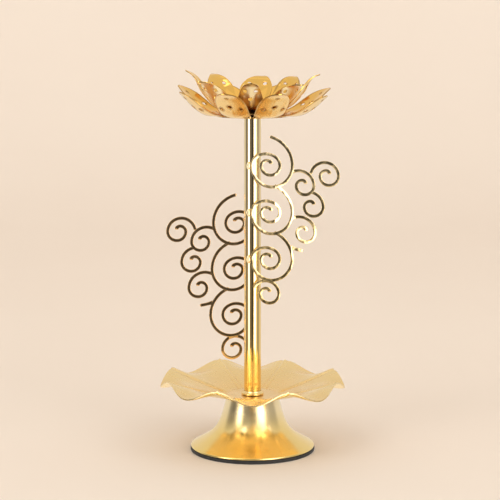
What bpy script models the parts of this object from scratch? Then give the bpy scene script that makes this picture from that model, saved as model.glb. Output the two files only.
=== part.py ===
"""Lotus candle stand: a gold-plated altar lamp stand clamped together by one central tie rod.

From the ground up: rubber foot ring, spun bell, leaf-shaped drip plate, tube stem with two
soldered scroll panels, and a lotus of two stamped petal layers that can be turned about the stem.
Metres, +Z up, origin on the ground on the stem's axis, front towards -Y.
"""
from math import atan2, cos, pi, radians, sin, sqrt

import bmesh
import bpy
from mathutils import Matrix, Vector

MM = 0.001
GAP = 0.3 * MM  # air between pieces that touch on the real stand
MERGE = 0.00001

# Driving dimensions
RING_RADIUS = 36.5 * MM
RING_WIDTH = 5.0 * MM
RING_HEIGHT = 2.0 * MM
RING_CHAMFER = 0.3 * MM
RING_OVERHANG = 0.2 * MM  # the rubber shows this far outside the bell's edge
BELL_WALL = 0.8 * MM
BELL_TOP_Z = 32.0 * MM
BELL_LIP = 1.0 * MM  # height of the rolled foot
BELL_LIP_WIDTH = 2.2 * MM
BELL_LIP_ROUNDING = 0.2 * MM
BASE_WASHER_RADIUS = 9.0 * MM
WASHER_HEIGHT = 1.2 * MM
SPRING_WASHER_RADIUS = 4.4 * MM
SPRING_WASHER_HEIGHT = 1.3 * MM
SPRING_WASHER_GAP = 14.0  # degrees open at the back
PLATE_WALL = 0.8 * MM
PLATE_Z = 32.7 * MM  # middle of the sheet on the flat centre
PLATE_FLAT_RADIUS = 17.0 * MM
PLATE_VALLEY_RADIUS = 54.6 * MM
PLATE_PEAK_RADIUS = 52.6 * MM
PLATE_LOBES = 8
VEIN_RISE = 10.6 * MM  # height of the rim on a vein above the flat centre
LOBE_RISE = 8.6 * MM  # height that the sheet between two veins climbs to
LOBE_DROOP = 4.4 * MM  # and how far it drops again at the rim
DROOP_START = 0.62  # share of the way out where it starts to drop
RIM_RAISED_FRONT = 0.85 * MM
RIM_RAISED_LEFT = 0.4 * MM
PLATE_BEND_WIDTH = 6.0 * MM  # over which the flat centre turns into the slope
COLLAR_RADIUS = 6.6 * MM
COLLAR_HEIGHT = 2.3 * MM
COLLAR_FLOOR = 1.0 * MM  # material under the tube's end
TUBE_RADIUS = 5.0 * MM
TUBE_WALL = 0.8 * MM
TUBE_TOP_Z = 197.0 * MM
BUSH_DEPTH = 6.0 * MM  # how far the bush reaches down inside the tube
ROD_RADIUS = 2.5 * MM
ROD_HOLE_RADIUS = 2.8 * MM
ROD_BOTTOM_Z = 20.5 * MM
ROD_ABOVE_FLOOR = 5.6 * MM
NUT_ACROSS_FLATS = 8.0 * MM
NUT_HEIGHT = 4.0 * MM
LOTUS_FLOOR_Z = 198.4 * MM  # middle of the outer layer's sheet
PETAL_WALL = 0.6 * MM
PETALS = 8
OUTER_TURN = -23.3  # degrees from the front, of the first petal of each layer
INNER_TURN = -3.0
PETAL_CUP = 0.10  # how far a petal's edges curl in, as a share of its half width
SPACER_RADIUS = 8.0 * MM
SPACER_HEIGHT = 1.2 * MM
TOP_WASHER_RADIUS = 6.0 * MM
TOP_WASHER_HEIGHT = 1.0 * MM
STRIP_WIDTH = 1.9 * MM
PANEL_THICKNESS = 1.0 * MM
PANEL_Y = -(TUBE_RADIUS + GAP + PANEL_THICKNESS / 2)
REAR_PANEL_DROP = 34.2 * MM
REAR_PANEL_TILT = -1.9  # degrees in its own plane, about the pivot below
REAR_PANEL_PIVOT = (38.0 * MM, 167.2 * MM)
SCROLL_PITCH = 27.4 * MM
TOP_SCROLL_Z = 169.7 * MM
LARGE_SCROLL_RIGHT = 23.0 * MM
LARGE_SCROLL_START = -2.0  # degrees, the direction in which its inner end begins
STRIP_STEP = 0.01 * MM  # strips differ by this in thickness, so no two share a face
SOLDER_BEAD = (1.0 * MM, 0.75 * MM, 2.2 * MM)  # half sizes

COLLECTION = "lotus_candle_stand"


def clear_scene():
    for existing in list(bpy.data.objects):
        bpy.data.objects.remove(existing, do_unlink=True)


def new_collection(name):
    collection = bpy.data.collections.new(name)
    bpy.context.scene.collection.children.link(collection)
    return collection


def material(name, colour, roughness, metallic):
    """A plain Principled material of one colour."""
    made = bpy.data.materials.new(name)
    made.use_nodes = True
    shader = made.node_tree.nodes["Principled BSDF"]
    shader.inputs["Base Color"].default_value = (*colour, 1.0)
    shader.inputs["Roughness"].default_value = roughness
    shader.inputs["Metallic"].default_value = metallic
    return made


def satin_gold(name):
    return material(name, (0.86, 0.66, 0.36), 0.32, 1.0)


def polished_gold(name):
    return material(name, (0.90, 0.68, 0.32), 0.12, 1.0)


def steel(name):
    return material(name, (0.62, 0.62, 0.60), 0.35, 1.0)


def rubber(name):
    return material(name, (0.025, 0.024, 0.024), 0.75, 0.0)


def link(name, mesh, collection, look):
    piece = bpy.data.objects.new(name, mesh)
    collection.objects.link(piece)
    if look is not None:
        mesh.materials.clear()
        mesh.materials.append(look(name))
    return piece


def mesh_from(bm, name, smooth_angle=35.0):
    bmesh.ops.recalc_face_normals(bm, faces=bm.faces[:])
    mesh = bpy.data.meshes.new(name)
    bm.to_mesh(mesh)
    bm.free()
    mesh.shade_smooth()
    mesh.set_sharp_from_angle(angle=radians(smooth_angle))
    return mesh


def turned(name, profile, collection, look, steps=48):
    """A closed (radius, height) outline, run down its outer side, turned about the stem axis."""
    bm = bmesh.new()
    corners = [bm.verts.new((radius, 0.0, height)) for radius, height in profile]
    for index, corner in enumerate(corners):
        bm.edges.new((corner, corners[(index + 1) % len(corners)]))
    mesh = bpy.data.meshes.new(name)
    bm.to_mesh(mesh)
    bm.free()
    piece = link(name, mesh, collection, look)
    screw = piece.modifiers.new("turn", "SCREW")
    screw.steps = steps
    screw.render_steps = steps
    screw.use_merge_vertices = True
    screw.merge_threshold = MERGE
    screw.use_smooth_shade = True
    return piece


def ring_profile(inner, outer, bottom, top, chamfer=0.0):
    """A washer's section, with its outer corners taken off by the chamfer."""
    if chamfer == 0.0:
        return [(outer, top), (outer, bottom), (inner, bottom), (inner, top)]
    return [
        (outer - chamfer, top),
        (outer, top - chamfer),
        (outer, bottom + chamfer),
        (outer - chamfer, bottom),
        (inner, bottom),
        (inner, top),
    ]


# Base ---------------------------------------------------------------------------------------

# Stations of the bell's outer side in millimetres, (radius, height), from the neck to the foot.
BELL_FLARE = [(15.4, 32.0), (16.5, 28.0), (17.8, 23.2), (19.5, 18.2), (21.8, 13.8), (24.8, 10.5),
              (28.6, 7.8), (32.7, 5.4), (35.6, 3.7)]


def bell_profile():
    """Outer side from the neck to the rolled foot, and back up the inner side."""
    bottom = RING_HEIGHT + GAP
    outer = [Vector(station) * MM for station in BELL_FLARE]
    foot = [
        (RING_RADIUS - BELL_LIP_ROUNDING, bottom + BELL_LIP),
        (RING_RADIUS, bottom + BELL_LIP / 2),
        (RING_RADIUS - BELL_LIP_ROUNDING, bottom),
        (RING_RADIUS - BELL_LIP_WIDTH, bottom),
    ]
    inner = []
    for index in range(len(outer) - 1, 0, -1):
        after = outer[min(index + 1, len(outer) - 1)]
        along = (after - outer[index - 1]).normalized()
        inner.append(outer[index] + Vector((along.y, -along.x)) * BELL_WALL)
    crown_z = BELL_TOP_Z - BELL_WALL
    crown = [(outer[0].x - BELL_WALL, crown_z), (ROD_HOLE_RADIUS, crown_z), (ROD_HOLE_RADIUS, BELL_TOP_Z)]
    return [tuple(point) for point in outer] + foot + [tuple(point) for point in inner] + crown


def build_base(parts):
    ring_outer = RING_RADIUS + RING_OVERHANG
    ring = ring_profile(RING_RADIUS - RING_WIDTH, ring_outer, 0.0, RING_HEIGHT, RING_CHAMFER)
    turned("foot_ring", ring, parts, rubber)
    turned("base_bell", bell_profile(), parts, polished_gold)
    washer_top = BELL_TOP_Z - BELL_WALL - GAP
    washer = ring_profile(ROD_HOLE_RADIUS, BASE_WASHER_RADIUS, washer_top - WASHER_HEIGHT, washer_top)
    turned("base_washer", washer, parts, steel, steps=32)
    spring_top = washer_top - WASHER_HEIGHT - GAP
    build_spring_washer(parts, spring_top)
    build_nut("base_nut", parts, spring_top - SPRING_WASHER_HEIGHT - GAP - NUT_HEIGHT)


def build_spring_washer(parts, top):
    """Split ring of square wire under the nut, pressed flat, with its gap at the back."""
    bm = bmesh.new()
    inner = ROD_HOLE_RADIUS
    outer = SPRING_WASHER_RADIUS
    bottom = top - SPRING_WASHER_HEIGHT
    section = [(inner, bottom), (outer, bottom), (outer, top), (inner, top)]
    corners = [bm.verts.new((radius, 0.0, height)) for radius, height in section]
    face = bm.faces.new(corners)
    open_angle = radians(SPRING_WASHER_GAP)
    start = Matrix.Rotation(pi / 2 + open_angle / 2, 3, "Z")
    bmesh.ops.rotate(bm, verts=corners, cent=(0, 0, 0), matrix=start)
    whole_section = [face] + list(face.edges) + list(face.verts)
    bmesh.ops.spin(bm, geom=whole_section, cent=(0, 0, 0), axis=(0, 0, 1),
                   angle=2 * pi - open_angle, steps=24)
    bmesh.ops.remove_doubles(bm, verts=bm.verts[:], dist=MERGE)
    link("base_spring_washer", mesh_from(bm, "base_spring_washer"), parts, steel)


def build_nut(name, parts, bottom):
    """Hexagon nut with a plain clearance hole."""
    bm = bmesh.new()
    corner_radius = NUT_ACROSS_FLATS / 2 / cos(radians(30.0))
    sides = 6
    per_side = 4
    count = sides * per_side
    loops = []
    for height in (bottom, bottom + NUT_HEIGHT):
        outer = []
        inner = []
        for index in range(count):
            angle = 2 * pi * index / count
            within = (angle % radians(60.0)) - radians(30.0)
            radius = corner_radius * cos(radians(30.0)) / cos(within)
            outer.append(bm.verts.new((radius * cos(angle), radius * sin(angle), height)))
            hole = ROD_HOLE_RADIUS
            inner.append(bm.verts.new((hole * cos(angle), hole * sin(angle), height)))
        loops.append((outer, inner))
    (low_outer, low_inner), (high_outer, high_inner) = loops
    for index in range(count):
        after = (index + 1) % count
        bm.faces.new((low_outer[index], low_outer[after], high_outer[after], high_outer[index]))
        bm.faces.new((low_inner[after], low_inner[index], high_inner[index], high_inner[after]))
        bm.faces.new((high_outer[index], high_outer[after], high_inner[after], high_inner[index]))
        bm.faces.new((low_outer[after], low_outer[index], low_inner[index], low_inner[after]))
    link(name, mesh_from(bm, name), parts, steel)


# Drip plate ---------------------------------------------------------------------------------

def smooth_step(value):
    value = min(max(value, 0.0), 1.0)
    return value * value * (3.0 - 2.0 * value)


def plate_point(share, angle):
    """A point of the leaf sheet: share runs from the centre hole (0) to the rim (1).

    The eight veins rise straight to the rim's peaks; between them the sheet arches up and
    droops over again at its edge. The rim is bent up a little more at the front than at the back.
    """
    vein_phase = 0.5 + 0.5 * cos(PLATE_LOBES * (angle - pi / PLATE_LOBES))  # 1 on a vein
    lobe_phase = 1.0 - vein_phase
    rim = PLATE_PEAK_RADIUS + (PLATE_VALLEY_RADIUS - PLATE_PEAK_RADIUS) * lobe_phase ** 0.8
    radius = ROD_HOLE_RADIUS + share * (rim - ROD_HOLE_RADIUS)
    climb = max(radius - PLATE_FLAT_RADIUS, 0.0) / (rim - PLATE_FLAT_RADIUS)
    vein_height = VEIN_RISE * (0.80 * climb + 0.20 * climb ** 2)
    droop = smooth_step((climb - DROOP_START) / (1.0 - DROOP_START))
    lobe_height = LOBE_RISE * climb ** 0.95 - LOBE_DROOP * droop
    height = vein_height * vein_phase + lobe_height * lobe_phase
    height += climb * (RIM_RAISED_FRONT * (1.0 - sin(angle)) - RIM_RAISED_LEFT * cos(angle))
    soften = smooth_step((radius - PLATE_FLAT_RADIUS * 0.9) / PLATE_BEND_WIDTH)
    return Vector((radius * cos(angle), radius * sin(angle), PLATE_Z + height * soften))


def build_plate(parts):
    """A flat disc of spun rings, pressed into the leaf form and given its thickness."""
    bm = bmesh.new()
    sectors = PLATE_LOBES * 8
    shares = [0.0, 0.28, 0.36, 0.46, 0.58, 0.70, 0.80, 0.88, 0.95, 1.0]
    line = [bm.verts.new((1.0 + share, 0.0, 0.0)) for share in shares]
    edges = [bm.edges.new(pair) for pair in zip(line, line[1:])]
    bmesh.ops.spin(bm, geom=line + edges, cent=(0, 0, 0), axis=(0, 0, 1), angle=2 * pi, steps=sectors,
                   use_merge=True)
    bmesh.ops.remove_doubles(bm, verts=bm.verts[:], dist=MERGE)
    for vertex in bm.verts:
        share = vertex.co.length - 1.0
        angle = atan2(vertex.co.y, vertex.co.x)
        vertex.co = plate_point(share, angle)
    plate = link("leaf_plate", mesh_from(bm, "leaf_plate"), parts, satin_gold)
    thicken(plate, PLATE_WALL)


def thicken(piece, wall):
    solidify = piece.modifiers.new("sheet", "SOLIDIFY")
    solidify.thickness = wall
    solidify.offset = 0.0
    solidify.use_even_offset = False


# Stem ---------------------------------------------------------------------------------------

def build_stem(parts):
    plate_top = PLATE_Z + PLATE_WALL / 2
    collar_bottom = plate_top + GAP
    collar_top = collar_bottom + COLLAR_HEIGHT
    collar = [
        (COLLAR_RADIUS - 0.9 * MM, collar_top),
        (COLLAR_RADIUS - 0.7 * MM, collar_top - 0.9 * MM),
        (COLLAR_RADIUS, collar_top - 1.1 * MM),
        (COLLAR_RADIUS, collar_bottom + 0.3 * MM),
        (COLLAR_RADIUS - 0.3 * MM, collar_bottom),
        (ROD_HOLE_RADIUS, collar_bottom),
        (ROD_HOLE_RADIUS, collar_bottom + COLLAR_FLOOR),
        (TUBE_RADIUS + GAP, collar_bottom + COLLAR_FLOOR),
        (TUBE_RADIUS + GAP, collar_top),
    ]
    turned("stem_collar", collar, parts, polished_gold, steps=40)
    tube_bottom = collar_bottom + COLLAR_FLOOR + GAP
    tube = ring_profile(TUBE_RADIUS - TUBE_WALL, TUBE_RADIUS, tube_bottom, TUBE_TOP_Z)
    turned("stem_tube", tube, parts, polished_gold, steps=40)
    bush_top = LOTUS_FLOOR_Z - PETAL_WALL / 2 - GAP
    spigot = TUBE_RADIUS - TUBE_WALL - GAP
    bush = [
        (TUBE_RADIUS, bush_top),
        (TUBE_RADIUS, TUBE_TOP_Z + GAP),
        (spigot, TUBE_TOP_Z + GAP),
        (spigot, TUBE_TOP_Z - BUSH_DEPTH),
        (ROD_HOLE_RADIUS, TUBE_TOP_Z - BUSH_DEPTH),
        (ROD_HOLE_RADIUS, bush_top),
    ]
    turned("stem_top_bush", bush, parts, steel, steps=32)
    build_rod(parts, ROD_BOTTOM_Z, inner_floor_z() + ROD_ABOVE_FLOOR)


def build_rod(parts, bottom, top):
    bm = bmesh.new()
    bmesh.ops.create_cone(bm, cap_ends=True, segments=24, radius1=ROD_RADIUS, radius2=ROD_RADIUS,
                          depth=top - bottom, matrix=Matrix.Translation((0.0, 0.0, (bottom + top) / 2)))
    link("tie_rod", mesh_from(bm, "tie_rod"), parts, steel)


# Scroll panels ------------------------------------------------------------------------------

# Arcs of a large scroll from its inner end outwards: half width, half height, degrees.
LARGE_ARCS = [(2.45 * MM, 2.1 * MM, 92), (3.35 * MM, 3.0 * MM, 90), (5.4 * MM, 5.6 * MM, 180),
              (8.1 * MM, 6.8 * MM, 180), (11.7 * MM, 12.5 * MM, 180), (17.7 * MM, 17.4 * MM, 75)]
LOWER_SWEEP = 66  # the lower two end sooner, on the scroll above


def scroll_path(right, height, arcs, start_angle):
    """Centre line of a scroll: elliptical arcs of growing size joined end to end, wound
    counter-clockwise. right and height place the scroll's right side, where its last arc begins.
    """
    points = [Vector((0.0, 0.0))]
    angle = start_angle
    for half_width, half_height, sweep in arcs:
        last_start = points[-1]
        centre = last_start - Vector((half_width * cos(angle), half_height * sin(angle)))
        fineness = 27.0 if half_width < 3.6 * MM else 20.0  # degrees a step
        count = max(2, round(sweep / fineness))
        for step in range(1, count + 1):
            turn = angle + radians(sweep) * step / count
            points.append(centre + Vector((half_width * cos(turn), half_height * sin(turn))))
        angle += radians(sweep)
    shift = Vector((right, height)) - last_start
    return [point + shift for point in points]


def small_arcs(radius, outer_radius, sweep):
    return [(2.2 * MM, 2.2 * MM, 90), (3.35 * MM, 3.35 * MM, 90), (radius, radius, 180),
            (outer_radius, outer_radius, sweep)]


def panel_paths():
    """Every strip of one panel, as centre lines in the panel's own plane (x to the right, z up)."""
    lower_arcs = LARGE_ARCS[:-1] + [(*LARGE_ARCS[-1][:2], LOWER_SWEEP)]
    paths = []
    for index in range(3):
        arcs = LARGE_ARCS if index == 0 else lower_arcs
        height = TOP_SCROLL_Z - index * SCROLL_PITCH
        paths.append(scroll_path(LARGE_SCROLL_RIGHT, height, arcs, radians(LARGE_SCROLL_START)))
    small = [
        (35.5 * MM, 157.8 * MM, small_arcs(5.1 * MM, 8.9 * MM, 124)),
        (41.0 * MM, 145.6 * MM, small_arcs(5.5 * MM, 8.7 * MM, 84)),
        (49.7 * MM, 163.4 * MM, small_arcs(5.3 * MM, 8.1 * MM, 172)),
        (36.3 * MM, 130.3 * MM, small_arcs(5.3 * MM, 9.5 * MM, 124)),
        (15.3 * MM, 94.3 * MM, small_arcs(5.4 * MM, 7.8 * MM, 152)),
    ]
    for right, height, arcs in small:
        paths.append(scroll_path(right, height, arcs, 0.0))
    stub = [(21.6, 122.0), (26.0, 120.6), (29.6, 119.8)]
    paths.append([Vector(point) * MM for point in stub])
    return paths


def strip_mesh(points, thickness):
    """A flat strip of the panel's width along a centre line, closed on all sides."""
    bm = bmesh.new()
    rows = []
    for index, point in enumerate(points):
        before = points[max(index - 1, 0)]
        after = points[min(index + 1, len(points) - 1)]
        along = (after - before).normalized()
        side = Vector((-along.y, along.x)) * STRIP_WIDTH / 2
        row = []
        for offset, depth in ((side, -1), (-side, -1), (-side, 1), (side, 1)):
            spot = point + offset
            row.append(bm.verts.new((spot.x, depth * thickness / 2, spot.y)))
        rows.append(row)
    for row, following in zip(rows, rows[1:]):
        for corner in range(4):
            other = (corner + 1) % 4
            bm.faces.new((row[corner], row[other], following[other], following[corner]))
    bm.faces.new(rows[0])
    bm.faces.new(reversed(rows[-1]))
    bmesh.ops.recalc_face_normals(bm, faces=bm.faces[:])
    mesh = bpy.data.meshes.new("strip")
    bm.to_mesh(mesh)
    bm.free()
    return mesh


def build_panel_mesh(cutters):
    """All strips of a panel joined into one solid."""
    strips = []
    for index, path in enumerate(panel_paths()):
        thickness = PANEL_THICKNESS - STRIP_STEP * index
        strip = bpy.data.objects.new(f"strip_{index}", strip_mesh(path, thickness))
        cutters.objects.link(strip)
        strip.hide_render = True
        strip.display_type = "WIRE"
        strips.append(strip)
    whole = strips[0]
    for strip in strips[1:]:
        union = whole.modifiers.new("join", "BOOLEAN")
        union.operation = "UNION"
        union.object = strip
    graph = bpy.context.evaluated_depsgraph_get()
    mesh = bpy.data.meshes.new_from_object(whole.evaluated_get(graph))
    for strip in strips:
        bpy.data.objects.remove(strip, do_unlink=True)
    return mesh


def panel_placements():
    """Where each panel stands: its name and the matrix from its own plane to the stand."""
    pivot = Vector((REAR_PANEL_PIVOT[0], 0.0, REAR_PANEL_PIVOT[1]))
    tilt = Matrix.Rotation(radians(REAR_PANEL_TILT), 4, "Y")
    tilted = Matrix.Translation(pivot) @ tilt @ Matrix.Translation(-pivot)
    front = Matrix.Translation((0.0, PANEL_Y, 0.0))
    rear = Matrix.Translation((0.0, -PANEL_Y, -REAR_PANEL_DROP)) @ Matrix.Rotation(pi, 4, "Z") @ tilted
    return [("front", front), ("rear", rear)]


def build_panels(parts, cutters):
    mesh = build_panel_mesh(cutters)
    for side, placement in panel_placements():
        panel = link(f"scroll_panel_{side}", mesh.copy(), parts, polished_gold)
        panel.matrix_world = placement


def build_solder(parts):
    """A small bead of solder beside each large scroll, where its left side lies along the tube."""
    strip_left = LARGE_SCROLL_RIGHT - 2 * LARGE_ARCS[-2][0] - STRIP_WIDTH / 2
    size = Vector(SOLDER_BEAD)
    for side, placement in panel_placements():
        outward = 1.0 if side == "rear" else -1.0
        for index, place in enumerate(("upper", "middle", "lower")):
            name = f"solder_{side}_{place}"
            edge = placement @ Vector((strip_left, 0.0, TOP_SCROLL_Z - index * SCROLL_PITCH))
            centre_x = edge.x + outward * (GAP * 1.3 + size.x)
            nearest = max(abs(centre_x) - size.x, 0.0)
            surface = sqrt((TUBE_RADIUS + GAP) ** 2 - nearest ** 2)
            centre = Vector((centre_x, outward * (surface + size.y), edge.z))
            bm = bmesh.new()
            bmesh.ops.create_uvsphere(bm, u_segments=10, v_segments=6, radius=1.0)
            bmesh.ops.scale(bm, verts=bm.verts[:], vec=size)
            bmesh.ops.translate(bm, verts=bm.verts[:], vec=centre)
            link(name, mesh_from(bm, name, 80.0), parts, polished_gold)


# Lotus --------------------------------------------------------------------------------------

# Stations of a petal in millimetres, (radius, height above the floor, half width), from the edge of
# the floor to the curled tip. The inner petals belly out and then stand nearly upright.
OUTER_STATIONS = [(23.0, 0.4, 8.2), (26.6, 1.6, 9.3), (30.3, 4.4, 9.8), (33.8, 7.9, 9.7), (37.2, 11.1, 8.4),
                  (40.6, 13.3, 6.0), (43.8, 14.3, 3.4), (46.8, 14.6, 0.9)]
INNER_STATIONS = [(17.5, 0.6, 5.8), (22.5, 3.6, 8.0), (26.8, 7.6, 9.4), (29.9, 11.2, 9.8), (31.8, 14.2, 8.6),
                  (33.6, 16.8, 6.4), (36.0, 18.2, 3.6), (39.0, 18.5, 0.8)]
# How each petal was bent by hand, from the front one on towards the right: its tip's extra height
# and reach and its middle's sag outwards in millimetres, its tip's lean in degrees, and how wide it
# is left after creasing.
OUTER_BENDS = [(1.0, 0.0, 0.0, 2.5, 1.0), (1.0, 0.0, 0.3, -2.5, 1.0), (-1.8, -0.9, 5.0, 0.0, 1.0),
               (-0.2, 2.2, 3.6, 0.0, 1.0), (0.3, 0.0, 2.0, 0.0, 1.0), (0.3, 0.0, 2.0, 0.0, 1.0),
               (1.5, 0.6, 3.0, 0.0, 1.0), (0.2, -2.2, 3.6, 0.0, 1.0)]
INNER_BENDS = [(0.4, 0.0, 0.0, 2.0, 0.66), (-1.4, 0.0, 0.0, 5.0, 1.0), (3.0, 0.0, 0.0, -2.0, 1.0),
               (-0.4, 0.0, 0.0, 8.0, 1.0), (-0.8, 0.0, 0.0, -7.0, 1.0), (1.0, 0.0, 0.0, -4.0, 1.0),
               (5.0, 0.0, 0.0, -2.0, 1.0), (0.3, 0.0, 0.0, -6.0, 1.0)]
FLOOR_DISH_WIDTH = 4.0 * MM  # the sheet starts to rise this far inside the floor's edge
# Holes in every petal: radius at which they lie, distance from the middle line, own radius.
OUTER_HOLES = [(33.2, 0.0, 1.3), (31.6, -5.8, 1.2), (31.6, 5.8, 1.2), (39.0, 0.0, 0.9)]
INNER_HOLES = [(28.2, 0.0, 1.3), (31.6, -4.6, 1.2), (31.6, 4.6, 1.2)]


def inner_floor_z():
    return LOTUS_FLOOR_Z + PETAL_WALL + SPACER_HEIGHT + 2 * GAP


def petal_point(stations, along, across, turn, bend):
    """A point of one petal; along runs over the stations, across from -1 to 1."""
    index = min(int(along), len(stations) - 2)
    low = Vector(stations[index])
    high = Vector(stations[index + 1])
    radius, height, half = low.lerp(high, along - index) * MM
    share = along / (len(stations) - 1)
    lift, reach, sag, lean, width = bend
    half *= 1.0 - (1.0 - width) * smooth_step(share * 2.0)
    height += lift * MM * share ** 2 - 0.3 * sag * MM * sin(pi * share)
    radius += reach * MM * share ** 2 + sag * MM * sin(pi * share)
    cup = PETAL_CUP * half * (1.0 - share) * across ** 2
    angle = turn + radians(lean) * share ** 2 + across * half / radius
    radius -= cup
    return Vector((radius * sin(angle), -radius * cos(angle), height + cup * 1.2))


def petal_turns(first_turn):
    return [radians(first_turn) + 2 * pi * petal / PETALS for petal in range(PETALS)]


def build_layer(name, stations, bends, holes, first_turn, floor_z, parts, cutters):
    """One stamped sheet: a floor disc with eight petals folded up from its edge."""
    bm = bmesh.new()
    edge_radius = stations[0][0] * MM
    edge_height = stations[0][1] * MM
    columns = 4
    half_angle = stations[0][2] / stations[0][0]
    offsets = [half_angle * (2.0 * column / columns - 1.0) for column in range(columns + 1)]
    offsets.append(pi / PETALS)
    turns = petal_turns(first_turn)
    angles = [turn + offset for turn in turns for offset in offsets]
    levels = [(ROD_HOLE_RADIUS, 0.0), (edge_radius - FLOOR_DISH_WIDTH, 0.0), (edge_radius, edge_height)]
    rings = []
    for radius, height in levels:
        ring = [bm.verts.new((radius * sin(angle), -radius * cos(angle), height)) for angle in angles]
        rings.append(ring)
    for low, high in zip(rings, rings[1:]):
        for index in range(len(angles)):
            after = (index + 1) % len(angles)
            bm.faces.new((high[index], high[after], low[after], low[index]))
    for petal, (turn, bend) in enumerate(zip(turns, bends)):
        start = petal * len(offsets)
        row = rings[-1][start:start + columns + 1]
        for station in range(1, len(stations)):
            following = []
            for column in range(columns + 1):
                across = 2.0 * column / columns - 1.0
                following.append(bm.verts.new(petal_point(stations, station, across, turn, bend)))
            for column in range(columns):
                bm.faces.new((row[column], row[column + 1], following[column + 1], following[column]))
            row = following
    layer = link(name, mesh_from(bm, name, 80.0), parts, satin_gold)
    layer.location = (0.0, 0.0, floor_z)
    thicken(layer, PETAL_WALL)
    pierce(layer, stations, bends, holes, turns, cutters)


def station_at(stations, radius_mm):
    """The fractional station where an unbent petal's middle line reaches a radius."""
    index = max(number for number, station in enumerate(stations[:-1]) if station[0] <= radius_mm)
    low = stations[index]
    high = stations[index + 1]
    part = (radius_mm - low[0]) / (high[0] - low[0])
    return index + part, low[2] + (high[2] - low[2]) * part


def pierce(layer, stations, bends, holes, turns, cutters):
    """Round holes punched square to the sheet, the same in every petal."""
    bm = bmesh.new()
    for turn, bend in zip(turns, bends):
        for radius_mm, side_mm, hole_mm in holes:
            along, half = station_at(stations, radius_mm)
            across = side_mm / half
            spot = petal_point(stations, along, across, turn, bend)
            up_slope = petal_point(stations, along + 0.2, across, turn, bend) - spot
            sideways = petal_point(stations, along, across + 0.1, turn, bend) - spot
            normal = up_slope.cross(sideways).normalized()
            place = Matrix.Translation(spot) @ normal.to_track_quat("Z", "Y").to_matrix().to_4x4()
            hole = hole_mm * MM
            bmesh.ops.create_cone(bm, cap_ends=True, segments=8, radius1=hole, radius2=hole,
                                  depth=5 * PETAL_WALL, matrix=place)
    cutter = link(f"{layer.name}_punch", mesh_from(bm, f"{layer.name}_punch"), cutters, None)
    cutter.location = layer.location
    cutter.hide_render = True
    cutter.display_type = "WIRE"
    cut = layer.modifiers.new("holes", "BOOLEAN")
    cut.operation = "DIFFERENCE"
    cut.object = cutter


def build_lotus(parts, cutters):
    build_layer("outer_petals", OUTER_STATIONS, OUTER_BENDS, OUTER_HOLES, OUTER_TURN, LOTUS_FLOOR_Z,
                parts, cutters)
    spacer_bottom = LOTUS_FLOOR_Z + PETAL_WALL / 2 + GAP
    spacer = ring_profile(ROD_HOLE_RADIUS, SPACER_RADIUS, spacer_bottom, spacer_bottom + SPACER_HEIGHT)
    turned("petal_spacer", spacer, parts, steel, steps=32)
    floor_z = inner_floor_z()
    build_layer("inner_petals", INNER_STATIONS, INNER_BENDS, INNER_HOLES, INNER_TURN, floor_z,
                parts, cutters)
    washer_bottom = floor_z + PETAL_WALL / 2 + GAP
    washer_top = washer_bottom + TOP_WASHER_HEIGHT
    washer = ring_profile(ROD_HOLE_RADIUS, TOP_WASHER_RADIUS, washer_bottom, washer_top)
    turned("top_washer", washer, parts, polished_gold, steps=32)
    build_nut("top_nut", parts, washer_top + GAP)


def main():
    clear_scene()
    parts = new_collection(COLLECTION)
    cutters = new_collection("cutters")
    build_base(parts)
    build_plate(parts)
    build_stem(parts)
    build_panels(parts, cutters)
    build_solder(parts)
    build_lotus(parts, cutters)


main()
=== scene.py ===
"""The finished look of the lotus candle stand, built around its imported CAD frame.

Every CAD node is replaced by a finely modelled piece of the same size in the same place.
Lengths are in metres; MM turns millimetres into metres.
"""

from math import cos, pi, radians, sin, sqrt

import bmesh
import bpy
from mathutils import Matrix, Vector


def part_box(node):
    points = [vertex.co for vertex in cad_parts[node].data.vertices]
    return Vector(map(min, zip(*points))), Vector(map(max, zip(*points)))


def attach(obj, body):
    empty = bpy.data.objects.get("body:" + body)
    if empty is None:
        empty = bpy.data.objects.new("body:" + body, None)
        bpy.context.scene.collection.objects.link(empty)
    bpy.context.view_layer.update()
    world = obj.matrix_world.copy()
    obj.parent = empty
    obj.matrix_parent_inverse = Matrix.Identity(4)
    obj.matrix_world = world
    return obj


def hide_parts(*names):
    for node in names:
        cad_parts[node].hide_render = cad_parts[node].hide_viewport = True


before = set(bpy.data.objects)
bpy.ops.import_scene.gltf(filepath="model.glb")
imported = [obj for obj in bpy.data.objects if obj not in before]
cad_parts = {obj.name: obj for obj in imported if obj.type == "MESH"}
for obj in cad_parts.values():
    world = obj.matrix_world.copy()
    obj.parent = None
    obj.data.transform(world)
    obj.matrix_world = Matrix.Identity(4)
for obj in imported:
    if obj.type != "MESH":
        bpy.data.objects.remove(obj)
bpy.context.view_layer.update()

MM = 0.001
GAP = 0.3 * MM  # air that the CAD leaves between touching pieces
SCENE = bpy.context.scene


# Node helpers -------------------------------------------------------------------------------

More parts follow.
